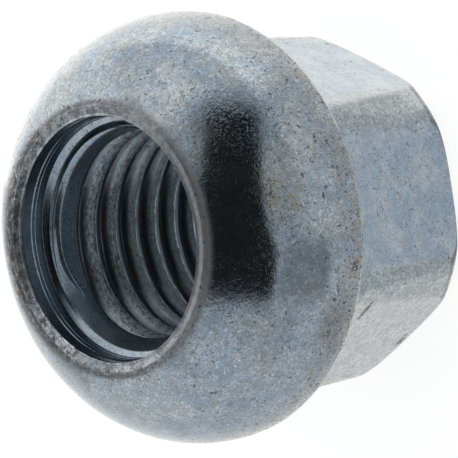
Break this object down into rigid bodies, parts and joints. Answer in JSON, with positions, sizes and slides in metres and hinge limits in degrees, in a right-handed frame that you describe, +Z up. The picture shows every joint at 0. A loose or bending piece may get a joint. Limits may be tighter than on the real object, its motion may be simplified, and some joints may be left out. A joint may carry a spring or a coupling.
{
  "type": "lug nut",
  "caption": "Open lug nut: hexagonal shank with turned corners, round collar with a ball seat, and a threaded bore right through for a wheel stud.",
  "frame": {"origin": "middle of the hexagon's end face, on the bore's axis; the nut stands on that face", "axes": "+Z up the bore towards the ball seat; a flat of the hexagon faces +X and a corner points to +Y"},
  "size_m": [0.0224, 0.0224, 0.0178],
  "materials": {
    "zinc_plated_steel": "blue-grey zinc plating over forged steel, satin, with fine dark specks"
  },
  "bodies": {
    "root": {"lug_nut": "zinc_plated_steel"}
  },
  "joints": []
}
